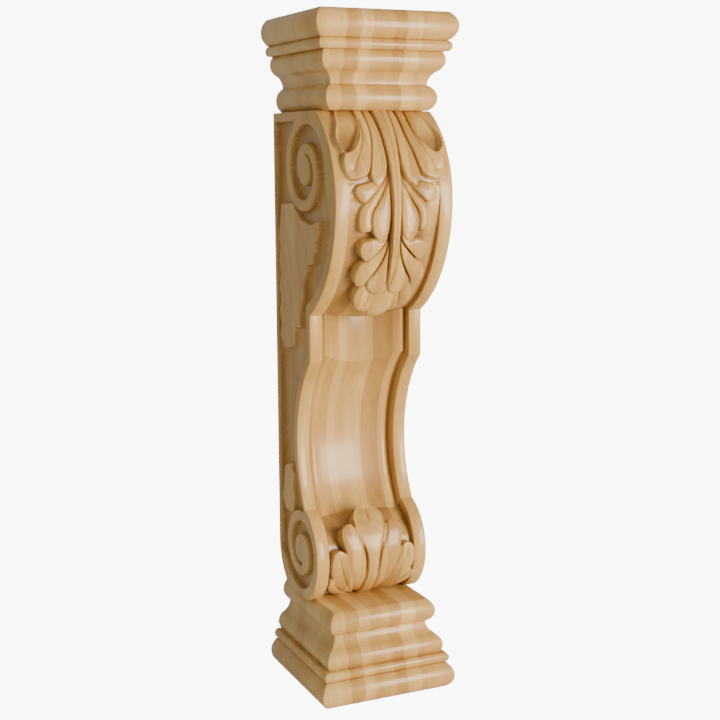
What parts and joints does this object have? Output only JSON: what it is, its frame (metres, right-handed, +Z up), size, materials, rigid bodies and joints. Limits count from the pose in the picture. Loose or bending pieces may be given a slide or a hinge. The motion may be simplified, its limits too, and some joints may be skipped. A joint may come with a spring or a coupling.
{
  "type": "corbel bracket",
  "caption": "Tall carved wooden corbel: a scroll-shaped body with an acanthus leaf, between moulded cap and base blocks, flat at the back.",
  "frame": {"origin": "middle of the underside, below the centre of the whole part", "axes": "+Z up, along the height; +X across the front; the carved front faces -Y and the flat back faces +Y"},
  "size_m": [0.1996, 0.221, 0.9144],
  "materials": {
    "cap_wood": "clear semi-gloss over glued maple staves",
    "body_wood": "clear semi-gloss over carved maple",
    "base_wood": "clear semi-gloss over glued maple staves"
  },
  "bodies": {
    "root": {"cap_moulding": "cap_wood", "scroll_body": "body_wood", "base_moulding": "base_wood"}
  },
  "joints": []
}
